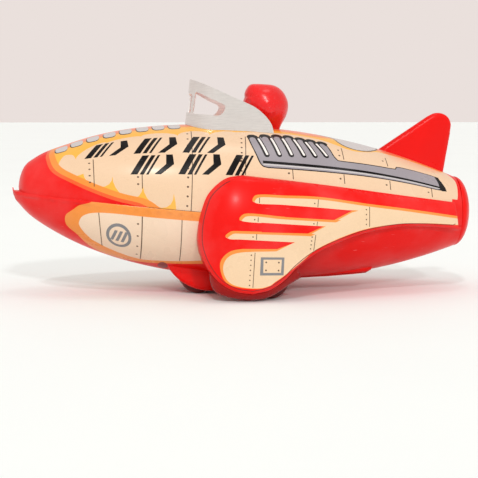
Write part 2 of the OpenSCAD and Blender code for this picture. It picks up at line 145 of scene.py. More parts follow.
def ink(name, colour, rough=0.3, coat=0.22, speckle=0.94, gloss=0.3):
    """Printing ink on tin under clear varnish: faint dot grain, cloudy density and hairline scratches."""
    f = Finish(name, colour, rough, 0.0, coat, 0.2, gloss)
    f.stain(2400, 2, 0.42, 0.72, 0.75, darker(colour, speckle))
    f.stain(60, 4, 0.45, 0.75, 0.6, lighter(colour, 0.94))
    scratch = f.ramp(f.noise(260, 2, (1, 1, 9), (0.2, 0.5, 0.3)), 0.71, 0.76)
    f.tint(f.times(scratch, f.ramp(f.noise(35, 2), 0.5, 0.62, 0.0, 0.3)), lighter(colour, 0.6))
    f.roughen(140, 4, 0.06, 0.08)
    f.bump(f.noise(420, 3), 0.012, 0.5)
    f.bump(f.noise(26, 2), 0.10, 0.35)
    return f.done()


def enamel(name, colour, rough=0.22):
    """Sprayed and stoved enamel: slight orange peel, thin patches and dust."""
    f = Finish(name, colour, rough, 0.0, 0.12, 0.2, 0.16)
    f.stain(48, 4, 0.42, 0.72, 0.7, darker(colour, 0.88))
    f.stain(900, 3, 0.66, 0.74, 0.35, darker(colour, 0.7))
    scratch = f.ramp(f.noise(240, 2, (1, 9, 1), (0.3, 0.2, 0.7)), 0.715, 0.76)
    f.tint(f.times(scratch, f.ramp(f.noise(30, 2), 0.52, 0.64, 0.0, 0.4)), lighter(colour, 0.7))
    f.roughen(120, 4, 0.05, 0.10)
    f.bump(f.noise(380, 3), 0.02, 0.5)
    f.bump(f.noise(24, 2), 0.12, 0.35)
    return f.done()


def metal(name, colour, rough, stretch=(1, 1, 1), turn=(0, 0, 0), grain=900, stain=None, aniso=0.0):
    """Bare or plated metal with a drawn grain, smudges and small dents."""
    colour = colour + (1,)
    f = Finish(name, colour, rough, 1.0)
    f.shader.inputs["Anisotropic"].default_value = aniso
    lines = f.noise(grain, 5, stretch, turn, 0.65)
    f.tint(f.ramp(lines, 0.35, 0.7, 0.0, 0.55), darker(colour, 0.72))
    f.stain(70, 4, 0.48, 0.75, 0.5, stain + (1,) if stain else darker(colour, 0.8))
    f.roughen(180, 5, 0.07, 0.1)
    f.bump(lines, 0.02, 0.5)
    f.bump(f.noise(60, 2), 0.08, 0.25)
    return f.done()


def moulded(name, colour, rough, sheen=0.0):
    """Moulded plastic or rubber with a fine surface grain."""
    f = Finish(name, colour, rough)
    f.shader.inputs["Sheen Weight"].default_value = sheen
    f.stain(75, 4, 0.42, 0.72, 0.8, darker(colour, 0.82))
    f.stain(1500, 2, 0.62, 0.72, 0.3, lighter(colour, 0.86))
    f.roughen(300, 4, 0.07, 0.08)
    f.bump(f.noise(1100, 3), 0.015, 0.6)
    f.bump(f.noise(90, 2), 0.08, 0.3)
    return f.done()


RED = rgb(223, 8, 2)
# The enamel for the fender lips is the fender's red darkened as painted shade.
INKS = { "red": ink("ink_red", RED, 0.34, 0.12, 0.94, 0.16), "black": ink("ink_black", rgb(5, 4, 4),
    0.32, 0.06, 0.9, 0.14), "enamel": enamel("enamel_red", RED, 0.3),
    "lip_painted_shade": enamel("enamel_red_painted_shade", rgb(150, 7, 3)), "plate": metal("tin_plate", (0.62, 0.62, 0.63),
    0.3, grain=500), "edge": metal("tin_edge", (0.55, 0.53, 0.5), 0.35),
    "brushed": metal("tin_brushed", (0.86, 0.83, 0.80), 0.36, (1, 1, 16), (0, -0.25, 0), 190, aniso=0.4),
    "inner": metal("tin_inside", (0.95, 0.93, 0.91), 0.6, (1, 1, 16), (0, -0.25, 0), 190),
    "bright": metal("tin_cut_edge", (1.0, 0.99, 0.97), 0.5), "zinc": metal("zinc_plate", (0.55, 0.57, 0.6),
    0.38, grain=300, stain=(0.35, 0.38, 0.36)), "steel": metal("steel_shaft", (0.5, 0.5, 0.52),
    0.25, (1, 12, 1), grain=500), "iron": metal("flywheel_iron", (0.16, 0.15, 0.15),
    0.45, grain=500, stain=(0.16, 0.09, 0.05)), "brass": metal("gear_brass", (0.62, 0.43, 0.17),
    0.3, grain=700, stain=(0.3, 0.17, 0.06)), "plastic": moulded("driver_red_plastic", rgb(226, 8, 12), 0.3),
    "red_rubber": moulded("tyre_dark_red", rgb(96, 12, 10), 0.55, 0.05), }
# The dark red ink at the end of this table is painted shade, for the slot in the lower shell and the crease
# where the fender's hem starts.
for colour_name, tone in {
        "cream": (221, 191, 158), "pale": (229, 204, 178), "sand": (224, 196, 160), "salmon": (230, 128, 92),
        "flame": (228, 88, 34), "orange": (230, 138, 52), "gold": (233, 173, 62), "pipe": (146, 141, 147),
        "grey": (122, 122, 124), "silver": (190, 187, 186), "white": (234, 230, 224), "line": (88, 66, 48),
        "painted_shade_red": (122, 14, 10)}.items():
    INKS[colour_name] = ink("ink_" + colour_name, rgb(*tone))


# ---------- outlines ----------

def smooth(points, step=1.2):
    """A curve through the points (centripetal Catmull-Rom), sampled about every step mm."""
    p = [np.array(q, float) for q in points]
    p = [2 * p[0] - p[1]] + p + [2 * p[-1] - p[-2]]
    out = []
    for a, b, c, d in zip(p, p[1:], p[2:], p[3:]):
        t = [0.0]
        for s, e in ((a, b), (b, c), (c, d)):
            t.append(t[-1] + max(1e-6, np.linalg.norm(e - s)) ** 0.5)
        count = max(1, int(math.ceil(np.linalg.norm(c - b) / step)))
        for i in range(count):
            now = t[1] + (t[2] - t[1]) * i / count
            q = [a, b, c, d]
            for gap in (1, 2):
                q = [((t[k + gap] - now) * q[k] + (now - t[k]) * q[k + 1]) / (t[k + gap] - t[k])
                     for k in range(len(q) - 1)]
            out.append(tuple(((t[2] - now) * q[0] + (now - t[1]) * q[1]) / (t[2] - t[1])))
    return out + [tuple(p[-2])]


def between(a, b, share):
    return (a[0] + (b[0] - a[0]) * share, a[1] + (b[1] - a[1]) * share)


def dense(points, step=1.5, closed=True):
    """Straight sides cut into pieces of about step mm."""
    ends = zip(points, points[1:] + points[:1]) if closed else zip(points, points[1:])
    out = []
    for a, b in ends:
        count = max(1, int(math.ceil(math.dist(a, b) / step)))
        out += [between(a, b, i / count) for i in range(count)]
    return out if closed else out + [points[-1]]


def oval(x, y, rx, ry, count=14, fullness=1.0):
    """An ellipse; a fullness below 1 gives it squarer corners."""
    out = []
    for i in range(count):
        turn = 2 * math.pi * i / count
        c, s = math.cos(turn), math.sin(turn)
        out.append((x + rx * math.copysign(abs(c) ** fullness, c),
                    y + ry * math.copysign(abs(s) ** fullness, s)))
    return out


def arc(x, y, rx, ry, start, end, count):
    return [(x + rx * math.cos(t), y + ry * math.sin(t)) for t in np.linspace(start, end, count)]


def ribbon(points, width):
    """A thin band along an open line."""
    p = [np.array(q, float) for q in points]
    left, right = [], []
    for i, q in enumerate(p):
        d = p[min(i + 1, len(p) - 1)] - p[max(i - 1, 0)]
        n = np.array([-d[1], d[0]]) / max(1e-9, np.linalg.norm(d)) * width / 2
        left.append(tuple(q + n))
        right.append(tuple(q - n))
    return left + right[::-1]


def inside(points, polygon):
    """Even-odd test of many points against one polygon."""
    x, y = points[:, 0], points[:, 1]
    poly = np.array(polygon, float)
    ax, ay = poly[:, 0], poly[:, 1]
    bx, by = np.roll(ax, -1), np.roll(ay, -1)
    result = np.zeros(len(points), bool)
    box = (x >= ax.min()) & (x <= ax.max()) & (y >= ay.min()) & (y <= ay.max())
    where = np.nonzero(box)[0]
    if not len(where):
        return result
    px, py = x[where, None], y[where, None]
    crosses = (ay > py) != (by > py)
    rise = np.where(by == ay, 1e-12, by - ay)
    result[where] = (crosses & (px < (bx - ax) * (py - ay) / rise + ax)).sum(1) % 2 == 1
    return result


def distance_to(points, line):
    """Distance of many points to a closed line."""
    p = np.atleast_2d(np.asarray(points, float))
    a = np.array(line, float)
    d = np.roll(a, -1, 0) - a
    best = np.full(len(p), 1e9)
    batch = 2000
    for i in range(0, len(p), batch):
        q = p[i:i + batch, None, :]
        t = np.clip(((q - a) * d).sum(2) / np.maximum(1e-12, (d * d).sum(1)), 0, 1)
        best[i:i + batch] = np.sqrt((((a + t[..., None] * d) - q) ** 2).sum(2).min(1))
    return best


def offset_line(outline, amount, tall=1.0):
    """The outline moved outwards, where tall units of its second axis are as long as one of its first."""
    p = np.array(outline, float)
    d = np.roll(p, -1, 0) - np.roll(p, 1, 0)
    n = np.stack([d[:, 1], -d[:, 0] * tall], 1)
    n /= np.maximum(1e-9, np.linalg.norm(n, axis=1))[:, None]
    turning = (p[:, 0] * np.roll(p[:, 1], -1) - np.roll(p[:, 0], -1) * p[:, 1]).sum()
    return p + n * np.array([amount, amount * tall]) * (1 if turning > 0 else -1)


def inset_line(outline, amount):
    """The outline moved inwards, kept only where it really is that far in."""
    q = offset_line(outline, -amount)
    far = distance_to(q, outline) > amount * 0.93
    return [tuple(v) for v, ok in zip(q, far) if ok]


def insets(outline, amounts):
    return [q for amount in amounts for q in inset_line(outline, amount)]


# ---------- sheets ----------

def sheet(name, outline, surface, prints=(), holes=(), base="cream", back="plate", rim="edge",
          thick=TIN, step=2.0, extra=(), node=None, outward=1, inner=None):
    """A thin sheet over a flat outline, bent by surface(u, v), printed with polygons of ink."""
    points, edges, index = [], [], {}

    def at(q):
        key = (round(q[0], 3), round(q[1], 3))
        if key not in index:
            index[key] = len(points)
            points.append(key)
        return index[key]

    for line in [outline, *holes, *(polygon for _, polygon in prints)]:
        ids = [at(q) for q in dense(list(line), step * 1.2)]
        edges.extend(e for e in zip(ids, ids[1:] + ids[:1]) if e[0] != e[1])
    for q in extra:
        at(q)
    taken = {(int(x / step * 2), int(y / step * 2)) for x, y in points}
    low, high = np.min(outline, 0), np.max(outline, 0)
    for i in range(int((high[0] - low[0]) / step) + 2):
        for j in range(int((high[1] - low[1]) / step) + 2):
            q = (low[0] + i * step, low[1] + (j + 0.5 * (i % 2)) * step)
            if (int(q[0] / step * 2), int(q[1] / step * 2)) not in taken:
                at(q)
    flat, _, tris, _, _, _ = delaunay_2d_cdt([Vector(q) for q in points], edges, [], 0, 1e-5)
    uv = np.array([tuple(q) for q in flat], float)
    tris = np.array([t for t in tris if len(t) == 3], int)
    middle = uv[tris].mean(1)
    keep = inside(middle, outline)
    for hole in holes:
        keep &= ~inside(middle, hole)
    tris, middle = tris[keep], middle[keep]
    names = [base]
    kinds = np.zeros(len(tris), int)
    for colour, polygon in prints:
        if colour not in names:
            names.append(colour)
        kinds[inside(middle, polygon)] = names.index(colour)

    used, flatten = np.unique(tris, return_inverse=True)
    tris = flatten.reshape(tris.shape)
    uv = uv[used]
    place = surface(uv[:, 0], uv[:, 1])
    nudge = 0.03
    du = surface(uv[:, 0] + nudge, uv[:, 1]) - surface(uv[:, 0] - nudge, uv[:, 1])
    dv = surface(uv[:, 0], uv[:, 1] + nudge) - surface(uv[:, 0], uv[:, 1] - nudge)
    normal = np.cross(du, dv) * outward
    normal /= np.maximum(np.linalg.norm(normal, axis=1), 1e-12)[:, None]

    # weld points that fall on the same place, and drop triangles that vanish
    _, first, same = np.unique(np.round(place, 4), axis=0, return_index=True, return_inverse=True)
    same = same.reshape(-1)
    total = np.zeros((len(first), 3))
    np.add.at(total, same, normal)
    place = place[first]
    normal = total / np.maximum(1e-9, np.linalg.norm(total, axis=1))[:, None]
    tris = same[tris]
    solid = (tris[:, 0] != tris[:, 1]) & (tris[:, 1] != tris[:, 2]) & (tris[:, 0] != tris[:, 2])
    tris, kinds = tris[solid], kinds[solid]
    face = np.cross(place[tris[:, 1]] - place[tris[:, 0]], place[tris[:, 2]] - place[tris[:, 0]])
    turned = (face * normal[tris].sum(1)).sum(1) < 0
    tris[turned] = tris[turned][:, ::-1]

    count = len(place)
    inside_place = (inner or (lambda p, n: p - n * thick))(place, normal)
    sides = [(t[k], t[(k + 1) % 3]) for t in tris for k in range(3)]
    seen = set(sides)
    border = [e for e in sides if e[::-1] not in seen]
    faces = [tuple(t) for t in tris] + [tuple(t[::-1] + count) for t in tris]
    faces += [(b, a, a + count, b + count) for a, b in border]
    for extra_name in (back, rim):
        if extra_name not in names:
            names.append(extra_name)
    kinds = list(kinds) + [names.index(back)] * len(tris) + [names.index(rim)] * len(border)
    return mesh_piece(name, np.concatenate([place, inside_place]), faces, kinds, names, node,
                      np.concatenate([normal, -normal]), 2 * len(tris))


def attach(name, mesh, node):
    """Each piece made here rides on the body, and some stand for a CAD node, whose own mesh is hidden."""
    piece = bpy.data.objects.new(name, mesh)
    scene.collection.objects.link(piece)
    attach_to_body(piece, "body")
    if node:
        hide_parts(node)
    return piece


def mesh_piece(name, place, faces, kinds, names, node, normal=None, soft_faces=0):
    """A mesh in mm. The first soft_faces faces take the given normals and the others their own."""
    mesh = bpy.data.meshes.new(name)
    mesh.from_pydata([tuple(p * MM) for p in place], [], [tuple(int(i) for i in f) for f in faces])
    for n in names:
        mesh.materials.append(INKS[n])
    mesh.polygons.foreach_set("material_index", np.array(kinds, np.int32))
    mesh.polygons.foreach_set("use_smooth", np.ones(len(mesh.polygons), bool))
    mesh.update()
    if normal is not None:
        loops = []
        for polygon in mesh.polygons:
            if polygon.index < soft_faces:
                loops += [tuple(normal[v]) for v in polygon.vertices]
            else:
                loops += [tuple(polygon.normal)] * len(polygon.vertices)
        mesh.normals_split_custom_set(loops)
    return attach(name, mesh, node)


def loft(name, rows, colour="enamel", closed=False, tip=None, keep=lambda i, j: True, downward=False,
         thick=FOLDED_TIN, offset=-1.0, node=None):
    """Thick tin through rows of points, less the cells that keep(row, column) leaves out."""
    columns = len(rows[0])
    place = [q for row in rows for q in row]
    faces = []
    for i in range(len(rows) - 1):
        for j in range(columns if closed else columns - 1):
            k = (j + 1) % columns
            if keep(i, j):
                corners = ((i, j), (i, k), (i + 1, k), (i + 1, j))
                faces.append([row * columns + column for row, column in corners])
    if tip:
        last = (len(rows) - 1) * columns
        faces += [(last + j, len(place), last + (j + 1) % columns) for j in range(columns)]
        place.append(tip)
    piece = mesh_piece(name, np.array(place, float), faces, [0] * len(faces), [colour], node)
    work = bmesh.new()
    work.from_mesh(piece.data)
    bmesh.ops.delete(work, geom=[v for v in work.verts if not v.link_faces], context="VERTS")
    bmesh.ops.recalc_face_normals(work, faces=work.faces)
    if downward and sum(f.normal.z for f in work.faces if abs(f.normal.z) > 0.7) >= 0:
        bmesh.ops.reverse_faces(work, faces=work.faces)
    work.to_mesh(piece.data)
    work.free()
    modifier = piece.modifiers.new("tin", "SOLIDIFY")
    modifier.thickness = thick * MM
    modifier.offset = offset


# ---------- the hull ----------

HULL_R = 29.2
TAIL_R = 13.6
TAIL_X = 82.0
FRONT_AXLE_X = -20
UPPER_REACH = 86.65
LOWER_REACH = 89.0
UPPER_SWELL = ((0.36, 3.5), (0.25, 10.5))  # share of the radius and length, mm
LOWER_SWELL = ((0.13, 8), (0.42, 1.6))
AXIS_HEIGHT, AXIS_TILT, AXIS_LIFT, HALF_LENGTH = 34, 0.063, 1.1, 85
NOSE_SHARPNESS, NOSE_FULLNESS, REAR_TAPER = 2.3, 0.6, 2.05
SEAM_DROP, SEAM_TILT = 3.4, 0.02  # seam below the axis, mm, and its growth per mm toward the tail
SEAM_GAP = 0.1  # between the shells, degrees
BEAD_AT, BEAD_WIDTH = 0.7, 0.75  # of the rolled bead below the seam, mm
AHEAD, BEHIND = -95, 95  # beyond the nose and beyond the tail


def axis_z(x):
    return AXIS_HEIGHT - AXIS_TILT * x + AXIS_LIFT * (x / HALF_LENGTH) ** 2


def hull_r(x, reach):
    x = np.asarray(x, float)
    swell = 1
    for amount, length in (UPPER_SWELL if reach < LOWER_REACH else LOWER_SWELL):
        swell = swell + amount * np.exp(-((x + reach) / length) ** 2)
    front = HULL_R * (1 - np.clip(-x / reach, 0, 1) ** NOSE_SHARPNESS) ** NOSE_FULLNESS * swell
    rear = HULL_R - (HULL_R - TAIL_R) * (np.clip(x, 0, None) / TAIL_X) ** REAR_TAPER
    return np.where(x < 0, front, rear)


class Meridian:
    """Arc length along the body's profile, so that a print is as long on the tin as on the flat."""

    def __init__(self, reach):
        self.reach = reach
        turn = np.linspace(0, math.pi / 2, 200)
        self.x = np.concatenate([-reach * np.cos(turn), np.linspace(0.5, TAIL_X + 2, 170)])
        r = hull_r(self.x, reach)
        self.s = np.concatenate([[0], np.cumsum(np.hypot(np.diff(self.x), np.diff(r)))])
        self.s -= np.interp(0, self.x, self.s)

    def s_of(self, x):
        return np.interp(x, self.x, self.s)

    def x_of(self, s):
        return np.interp(s, self.s, self.x)


UPPER = Meridian(UPPER_REACH)
LOWER = Meridian(LOWER_REACH)


def seam_drop(x):
    return SEAM_DROP + SEAM_TILT * x


def seam_angle(x, reach):
    r = np.maximum(hull_r(x, reach), 1e-6)
    return -np.degrees(np.arcsin(np.clip(seam_drop(x) / r, -1, 1)))


def hull_surface(meridian, bead=0.0):
    def surface(s, v):
        x = meridian.x_of(s)
        angle = np.radians(2 * v)
        r = hull_r(x, meridian.reach)
        if bead:
            below = -(r * np.sin(angle)) - seam_drop(x)
            r = r + bead * np.exp(-((below - BEAD_AT) / BEAD_WIDTH) ** 4)
        return np.stack([x, -r * np.cos(angle), axis_z(x) + r * np.sin(angle)], 1)
    return surface


def on_hull(meridian, points):
    """(x, degrees round) to flat sheet coordinates."""
    return [(float(meridian.s_of(x)), a / 2) for x, a in points]


def far_upper(points):
    return [(x, 180 - a) for x, a in points]


def far_lower(points):
    return [(x, -180 - a) for x, a in points]


def both(prints, far):
    """The prints of the near flank and their mirror image on the far one."""
    out = []
    for colour, points in prints:
        out += [(colour, points), (colour, far(points))]
    return out


def crown(colour, edge):
    """A print that crosses the spine, from its near edge."""
    return (colour, edge + far_upper(edge)[::-1])


def line_with_rivets(top, bottom, count, width=0.32, side=-1.5):
    out = [("line", ribbon(dense([top, bottom], 3, False), width))]
    for i in range(count):
        x, a = between(top, bottom, (i + 0.6) / (count + 0.2))
        out.append(("line", oval(x + side, a, 0.42, 0.42 * 1.9, 8)))
    return out


def slanted(x, low, high, width, lean):
    """A leaning bar between two angles."""
    return [(x, low), (x + width, low), (x + width + lean, high), (x + lean, high)]


def speed_marks(start, low, high, groups, pitch, rise=0.0):
    """A row of plain black marks: three leaning bars and an arrowhead in turn."""
    out = []
    lean = 4.6
    for i in range(groups):
        x = start + i * pitch
        a, b = low + rise * i, high + rise * i
        mid = (a + b) / 2
        if i % 2 == 0:
            for along, width in ((0, 2.5), (3.3, 1.5), (5.6, 0.9)):
                out.append(("black", slanted(x + along, a, b, width, lean)))
        else:
            out.append(("black", [(x, a), (x + 2.4, a), (x + 7.3, mid), (x + 2.4 + lean, b), (x + lean, b),
                                  (x + 4.4, mid)]))
    return out


def upper_prints():
    red_edge = smooth([(-75, 90), (-76, 72), (-76.3, 54), (-73.6, 25.7), (-67, 11.9), (-59.9, 3.3),
        (-51.7, -2.7), (-43.5, -5.9), (-38.5, -12)], 2)
    lower_bumps = [(-62.8, 22.5), (-57.7, 8.8), (-52.4, 18.9), (-47.4, 0.8), (-41.6, 11), (-35.9, -5),
        (-30.6, 6.3)]
    upper_bumps = [(-65.4, 41.2), (-60.3, 55.6), (-53.9, 57.7), (-47.6, 61.6), (-41.3, 61.1), (-34.6, 64.4),
        (-27.9, 59.1), (-21.7, 66.2), (-15.9, 60.4), (-11.3, 66.2), (-6.9, 66)]
    nose_cloud = smooth([(-62.8, 22.5), (-65.2, 20.4), (-68.2, 20.9), (-71, 27), (-71.7, 35.8), (-71, 45),
        (-69, 51.9), (-66.9, 50), (-65.4, 41.2)], 1.5)[:-1]
    gold_rear = smooth([(-6.9, 66), (-1, 67.5), (5, 69.5), (14, 70.5), (22, 69.5), (26.5, 68.5), (31.1, 64.6),
        (36.6, 59.8), (40.1, 59.1), (46, 63.5), (49.6, 68.5), (60, 71), (76.3, 73), (77.4, 90)], 2)
    sky = [(-76.5, -20), (-29.5, -20)] + dense([(-29.4, -12), (-30, 0), (-30.6, 6.3)], 2, False)[:-1]
    out = [crown("gold", sky + bumps(lower_bumps[::-1]) + nose_cloud + bumps(upper_bumps) + gold_rear)]
    salmon_top = smooth([(-77, 90), (-72, 66), (-66, 71.5), (-52, 75.5), (-38, 77.5), (-20, 79), (4, 80),
        (12, 78.5), (24, 76), (29.5, 78), (33, 82), (40, 83), (47, 81), (52, 72.5), (62, 75.5), (76.6, 77.5),
        (77.2, 90)], 2)
    out.append(crown("orange", [(x - 0.2, a - 3.4) if x < 50 else (x, a - 1) for x, a in salmon_top]))
    out.append(crown("salmon", salmon_top))
    # the red nose, inside a flame rim and a wide orange one
    for colour, start, dx, da in (("orange", -34, 3.2, 6.5), ("flame", -37, 1.2, 2.6), ("red", -37, 0, 0)):
        edge = [(x + dx, a + da) for x, a in red_edge]
        out.append((colour, [(AHEAD, 90), (AHEAD, -96), (start, -96)] + edge[::-1] + far_upper(edge)
                    + [(start, 276), (AHEAD, 276)]))
    # grey drop over the spine behind the driver
    drop = smooth([(27.2, 90), (28.6, 84), (32.6, 80), (34.4, 69.5), (37, 64.2), (40.4, 62.4), (44.5, 64.5),
        (47.6, 70), (49.6, 77), (50.2, 90)], 1.5)
    out.append(crown("line", [(x + (0.5 if x > 40 else -0.5), a - 1.1) for x, a in drop]))
    out.append(crown("silver", drop))

    near = []
    # thin salmon line under the fin
    near.append(("salmon", ribbon(smooth([(50.6, 70.4), (56, 71.6), (66, 73), (76, 73.5)], 2), 0.9)))
    for x, a in ((-70.7, 63.2), (-65, 66.7), (-59, 68.3), (-52.8, 69.6), (-46.8, 71.4), (-40.5, 72.5),
                 (-34.5, 73.2), (-28.5, 74)):
        near.append(("black", oval(x, a + 4.8, 2.4, 8, 28, 0.62)))
        near.append(("silver", oval(x + 0.15, a + 6.2, 2.25, 7.9, 28, 0.62)))
    for top, bottom, count in (((-59.2, 38), (-59, 9), 4), ((-41.8, 22), (-41.8, 9), 2),
                               ((-22.6, 66), (-24.4, -6.5), 10), ((-2.6, 60), (-4.3, 23), 7)):
        near += line_with_rivets(top, bottom, count)
    near.append(("line", oval(-5.7, 34.2, 0.6, 1.1, 10)))
    for top, bottom, count in (((13.5, 31), (13.5, 22), 1), ((33.2, 30), (33.2, 22), 1),
                               ((51.5, 30), (51.5, 21), 1), ((68.9, 30), (68.9, 19), 1),
                               ((34.2, 59.8), (34.1, 44.8), 2), ((51.7, 60), (51.8, 47), 1)):
        near += line_with_rivets(top, bottom, count)
    near += speed_marks(-62.4, 40, 57.4, 6, 8.9)
    near += speed_marks(-46, 20.6, 37.8, 5, 8.6, 0.4)
    near += exhaust()
    out += both(near, far_upper)
    hidden = [(14, -26), (80, -26), (80.4, 21), (77.6, 20.5), (77.2, 8.5), (60, 9), (40, 8), (14, 5)]
    out += both([("red", dense(hidden, 3))], far_upper)
    # red tail over all
    tail = smooth([(77.7, 90), (78.6, 75), (80.6, 60), (80.4, 30), (79.3, 10), (79, -30)], 3)
    out.append(("red", [(BEHIND, -30)] + tail[::-1] + far_upper(tail) + [(BEHIND, 210)]))
    return [(colour, on_hull(UPPER, points)) for colour, points in out]


def bumps(chain, count=9):
    """Round bumps along a chain of end, peak, end, peak and so on."""
    out = []
    for a, m, b in zip(chain[::2], chain[1::2], chain[2::2]):
        a, m, b = (np.array(q, float) for q in (a, m, b))
        half, mid = (b - a) / 2, (a + b) / 2
        for i in range(count):
            t = math.pi * i / count
            out.append(tuple(mid - half * math.cos(t) + (m - mid) * math.sin(t)))
    return out


def exhaust():
    """The printed exhaust: seven leaning pipes that run into one long tail pipe."""
    caps = [(0.1, 61.5), (5, 63.6), (9.6, 65.2), (14, 65.9), (18.4, 64.6), (22.5, 63.8), (26.8, 62.9)]
    slot_tops = [(2.1, 58.2), (7, 60.2), (11.5, 61.2), (15.9, 61.6), (20.3, 60), (24.4, 59.8)]
    slot_ends = [(4.4, 40.9), (9.1, 41.8), (13.7, 42.7), (18.5, 43.4), (22.9, 44.4), (27.3, 45.8)]
    left = smooth([(-1.4, 58.2), (-0.4, 48.4), (0.7, 40.5), (1.7, 34), (2.7, 31.2), (4.4, 30.4)], 1.5)
    base = smooth([(4.4, 30.4), (16, 30.6), (30, 31.1), (45, 31.7), (60, 31.5), (73.8, 30.4)], 3)[1:]
    step = dense([(72.6, 50.8), (63, 50.2), (57.2, 49.4), (55.6, 48.6), (54.9, 45.4), (52.6, 44.6),
        (42, 43.4), (34, 42.4)], 3, False)
    right = smooth([(31.6, 42.4), (30.3, 46), (29.4, 52), (28.6, 57.5), (27.9, 61)], 2)
    tops = []
    for i in range(6, -1, -1):
        x, a = caps[i]
        tops += arc(x, a - 1.4, 1.75, 2.4, 0, math.pi, 7)
        if i:
            x, a = slot_tops[i - 1]
            tops += [(x + 0.35, a - 0.5), (x - 0.35, a - 0.5)]
    body = left + base + step + right + tops
    out = [("black", [tuple(q) for q in offset_line(body, 0.45, 2)]), ("pipe", body)]
    out.append(("black", [(73.6, 29.6), (75.6, 30.6), (75.2, 36), (74, 44), (72.6, 51.4), (71.2, 50.8),
        (72.3, 42), (72.6, 35.2), (69, 33.6)]))
    for x, a in caps:
        out.append(("black", arc(x, a - 1.6, 2.15, 3.8, -0.2, math.pi, 9)
                    + arc(x - 0.1, a - 4.8, 1.2, 2.9, math.pi, 0.1, 9)))
    for (x0, a0), (x1, a1) in zip(slot_tops, slot_ends):
        out.append(("black", pill((x0, a0), (x1, a1), 2.1)))
        out.append(("white", pill((x0 + 0.2, a0 - 0.4), (x1 + 0.15, a1 + 0.8), 0.85)))
    stripe = [(2.6, 34.4), (16, 34.4), (30, 34.9), (45, 35.5), (60, 35.3), (72.6, 34.4)]
    out.append(("black", ribbon(smooth(stripe, 3), 2.3)))
    out.append(("silver", ribbon(smooth([(x, a - 2) for x, a in stripe], 3), 1.2)))
    return out


def pill(a, b, width):
    """A round-ended bar between two points in (mm, degrees), where a degree is half a millimetre."""
    (x0, y0), (x1, y1) = (a[0], a[1] / 2), (b[0], b[1] / 2)
    start = math.atan2(y1 - y0, x1 - x0) - math.pi / 2
    return (arc(x1, 2 * y1, width / 2, width, start, start + math.pi, 6)
            + arc(x0, 2 * y0, width / 2, width, start + math.pi, start + 2 * math.pi, 6))


def lower_prints():
    red = [("red", [(AHEAD, -280), (AHEAD, 100), (BEHIND, 100), (BEHIND, -280)])]
    outer = smooth([(-65.4, -51.1), (-68.6, -44), (-69.6, -36.5), (-69.2, -26.6), (-66.5, -17.3),
        (-64.3, -11.5), (-60, -6.4)], 1.5)[:-1]
    outer += dense([(-60, -6), (-56, 5), (-12, 5), (-12, -50)], 3, False)
    outer += smooth([(-12, -49.5), (-24.8, -56.2), (-32.6, -61), (-38.4, -66.8), (-44.2, -71.6), (-49.1, -76),
        (-54.5, -76.5), (-59.7, -69.5), (-65.4, -51.1)], 2)[1:-1]
    cream_top = [(-64.3, -28.5), (-63.2, -22.8), (-60.8, -18.4), (-57.7, -16), (-52, -14.4), (-41.9, -13.7),
        (-30, -13.3), (-12, -13)]
    cream = smooth([(-59.8, -51.5), (-62.9, -43), (-64.6, -34.5)] + cream_top, 1.5)
    cream += smooth([(-12, -45), (-19.4, -48.9), (-27.2, -53.4), (-35, -58.2), (-42.8, -62.9), (-48.7, -60.9),
        (-54.2, -57.4), (-59.8, -51.5)], 2)[:-1]
    near = [("orange", outer), ("pale", cream)]
    near += line_with_rivets((-57.5, -16), (-56.1, -56), 0)
    near += line_with_rivets((-41.9, -13.7), (-41.9, -62), 4, 0.4)
    near += line_with_rivets((-27.6, -13.2), (-27.6, -53), 0)
    # a plain round badge
    near.append(("grey", oval(-50.2, -36.5, 4.6, 13.5, 28)))
    near.append(("pale", oval(-50.2, -36.5, 3.5, 10.3, 28)))
    for k in (-1, 0, 1):
        near.append(("grey", slanted(-51.4 + 1.9 * k, -42.5, -30.5, 1.1, 1.6)))
    # painted shade: a dark red oval stands for the shaded slot in the lower shell
    near.append(("painted_shade_red", oval(-33.4, -67.5, 1.9, 8, 18)))
    return [(colour, on_hull(LOWER, points)) for colour, points in red + both(near, far_lower)]


def hull_outline(meridian, upper):
    """The flat outline of one shell: its two long sides follow the seam."""
    reach = meridian.reach
    nose = [float(x) for x in -reach * np.cos(np.linspace(0.02, math.pi / 2, 60))]
    split = [bool(hull_r(x, reach) > seam_drop(x) + 0.02) for x in nose]
    xs = [x for x, ok in zip(nose, split) if ok] + list(np.linspace(1.5, TAIL_X, 50))
    seam = [(x, float(seam_angle(x, reach)) + (SEAM_GAP if upper else -SEAM_GAP)) for x in xs]
    if upper:
        # ahead of the seam the nose is whole, and its sheet closes on itself underneath
        tip = [(-reach, -90)] + [(x, -90) for x, ok in zip(nose, split) if not ok]
        near, far = tip + seam, far_upper(tip + seam)
    else:
        near, far = [(nose[0], -90)] + seam, far_lower(seam)
    near, far = on_hull(meridian, near), on_hull(meridian, far)
    points = near + dense([near[-1], far[-1]], 2, False)[1:-1] + far[::-1]
    return points + (dense([points[-1], points[0]], 2, False)[1:-1] if upper else [])


def nose_rows(meridian, upper):
    """Extra points where the nose curls in, so that its end stays round."""
    out = []
    for x in -meridian.reach * np.cos(np.linspace(0.04, 0.55, 9)):
        edge = float(seam_angle(x, meridian.reach))
        count = int(6 + 2 * float(hull_r(x, meridian.reach)))
        a, b = (edge, 180 - edge) if upper else (-180 - edge, edge)
        out += [(float(meridian.s_of(x)), (a + (b - a) * i / count) / 2) for i in range(1, count)]
    return out


def belly_hole():
    """Opening over the motor, as wide as the belly pan's inside."""
    stations = [(x, 11) for x in (-27.8, -24, -20, -14)] + [(x, 16.3) for x in (-14, -8, 0, 6, 12)]
    right = [(x, -90 + math.degrees(math.asin(half / float(hull_r(x, LOWER_REACH))))) for x, half in stations]
    return dense(on_hull(LOWER, right + far_lower(right)[::-1]), 2.5)


